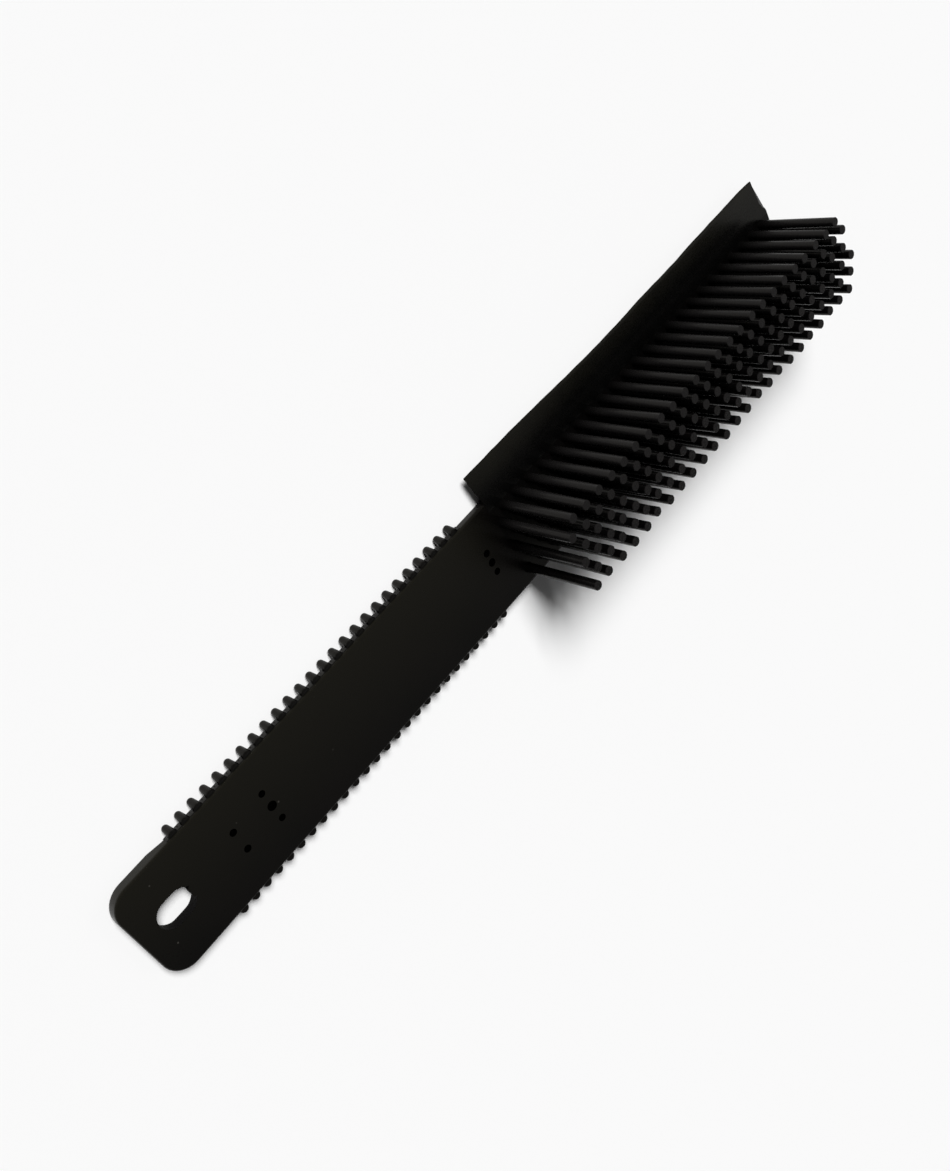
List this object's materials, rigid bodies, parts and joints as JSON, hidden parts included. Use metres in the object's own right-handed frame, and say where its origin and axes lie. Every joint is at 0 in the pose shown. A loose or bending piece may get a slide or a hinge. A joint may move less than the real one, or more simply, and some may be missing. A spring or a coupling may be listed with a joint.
{
  "type": "pet hair removal brush",
  "caption": "Flat rubber strap brush with a hang hole, grip nubs along the handle edges, a head of staggered flexible pins and a squeegee lip, for lifting pet hair off cloth.",
  "frame": {"origin": "under the middle of the brush's box, on the surface that it lies on with its pins up", "axes": "+X along the strap from the butt to the head, +Y towards the squeegee lip, +Z the way the pins point"},
  "size_m": [0.256, 0.0385, 0.0287],
  "materials": {
    "spring_steel": "rolled strip",
    "grip_rubber": "matte moulded",
    "head_rubber": "matte moulded",
    "pin_rubber": "satin moulded",
    "lip_rubber": "matte moulded, cut ends"
  },
  "bodies": {
    "strap": {"stiffener_core": "spring_steel", "handle_grip": "grip_rubber", "left_grip_nubs": "grip_rubber", "right_grip_nubs": "grip_rubber", "head_backing": "head_rubber"},
    "lip": {"squeegee_lip": "lip_rubber"},
    "left_pins": {"pins_left": "pin_rubber"},
    "middle_pins": {"pins_middle": "pin_rubber"},
    "right_pins": {"pins_right": "pin_rubber"}
  },
  "joints": [
    {"name": "lip_flex", "type": "hinge", "parent": "strap", "child": "lip", "pos_m": [0.0635, 0.011, 0.003], "axis": [1, 0, 0], "range_deg": [-30, 30], "stiffness_Nm_per_rad": 0.016},
    {"name": "left_pin_flex", "type": "hinge", "parent": "strap", "child": "left_pins", "pos_m": [0.0635, 0.0045, 0.00525], "axis": [1, 0, 0], "range_deg": [-12, 12], "stiffness_Nm_per_rad": 0.022},
    {"name": "middle_pin_flex", "type": "hinge", "parent": "strap", "child": "middle_pins", "pos_m": [0.0635, -0.0033, 0.00525], "axis": [1, 0, 0], "range_deg": [-12, 12], "stiffness_Nm_per_rad": 0.022},
    {"name": "right_pin_flex", "type": "hinge", "parent": "strap", "child": "right_pins", "pos_m": [0.0635, -0.0111, 0.00525], "axis": [1, 0, 0], "range_deg": [-12, 12], "stiffness_Nm_per_rad": 0.022}
  ],
  "couplings": [
    {"joint": "left_pin_flex", "follows": "middle_pin_flex", "ratio": 1},
    {"joint": "right_pin_flex", "follows": "middle_pin_flex", "ratio": 1}
  ]
}
